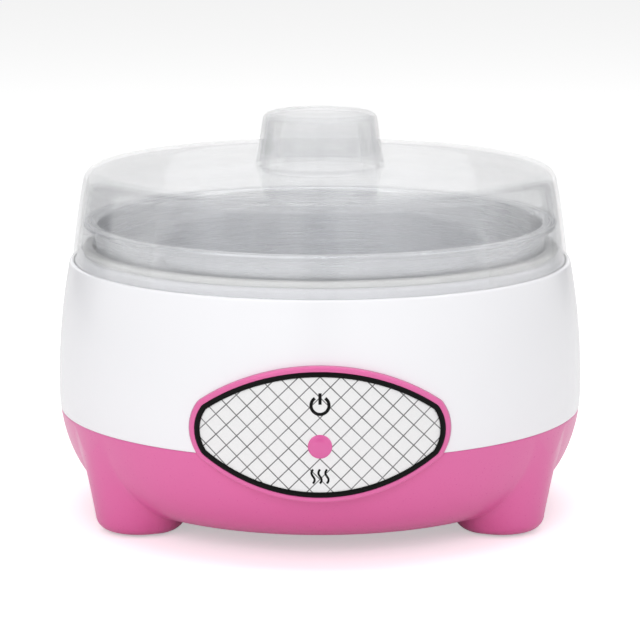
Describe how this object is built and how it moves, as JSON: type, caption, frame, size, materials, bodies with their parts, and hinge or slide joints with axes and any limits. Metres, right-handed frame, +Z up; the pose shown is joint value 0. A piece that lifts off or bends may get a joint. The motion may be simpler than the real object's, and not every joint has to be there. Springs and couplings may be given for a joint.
{
  "type": "yogurt maker",
  "caption": "Round electric yogurt maker: barrel shell on a legged base, lift-out steel pot on a heating plate, clear domed lid with a hollow knob, front panel with lamp.",
  "frame": {"origin": "centre of the footprint on the table plane", "axes": "+Z up, the panel faces -Y, +X to the right seen from the front"},
  "size_m": [0.195, 0.1982, 0.1492],
  "materials": {
    "base_housing": "gloss, moulded ABS",
    "upper_shell": "gloss, moulded ABS",
    "inner_liner": "satin, moulded PP",
    "heat_plate": "rolled",
    "plate_seal": "matt silicone",
    "ptc_heater": "ceramic heating element",
    "mica_sheet": "pressed mica",
    "heater_clamp": "zinc-plated steel",
    "clamp_screws": "zinc-plated steel",
    "plate_screws": "stainless steel",
    "thermal_fuse": "plated case",
    "terminal_block": "nylon",
    "terminal_screws": "machined brass",
    "cord_grommet": "matt PVC",
    "supply_leads": "silicone insulation",
    "lamp_leads": "PVC insulation",
    "lamp_resistor": "lacquered",
    "lamp_holder": "nylon",
    "indicator_lamp": "clear glass envelope",
    "lamp_lens": "translucent, moulded",
    "panel_plate": "printed satin foil on plate",
    "panel_bezel": "gloss, moulded ABS",
    "housing_screws": "zinc-plated steel",
    "foot_pads": "matt rubber",
    "pot": "drawn stainless, brushed round",
    "lid": "clear moulded PS"
  },
  "bodies": {
    "housing": {"base_housing": "base_housing", "upper_shell": "upper_shell", "inner_liner": "inner_liner", "heat_plate": "heat_plate", "plate_seal": "plate_seal", "ptc_heater": "ptc_heater", "mica_sheet": "mica_sheet", "heater_clamp": "heater_clamp", "clamp_screws": "clamp_screws", "plate_screws": "plate_screws", "thermal_fuse": "thermal_fuse", "terminal_block": "terminal_block", "terminal_screws": "terminal_screws", "cord_grommet": "cord_grommet", "supply_leads": "supply_leads", "lamp_leads": "lamp_leads", "lamp_resistor": "lamp_resistor", "lamp_holder": "lamp_holder", "indicator_lamp": "indicator_lamp", "lamp_lens": "lamp_lens", "panel_plate": "panel_plate", "panel_bezel": "panel_bezel", "housing_screws": "housing_screws", "foot_pads": "foot_pads"},
    "pot": {"pot": "pot"},
    "lid": {"lid": "lid"}
  },
  "joints": [
    {"name": "pot_lift", "type": "slide", "parent": "housing", "child": "pot", "axis": [0, 0, 1], "range_m": [0, 0.065]},
    {"name": "lid_lift", "type": "slide", "parent": "pot", "child": "lid", "axis": [0, 0, 1], "range_m": [0, 0.055]}
  ]
}
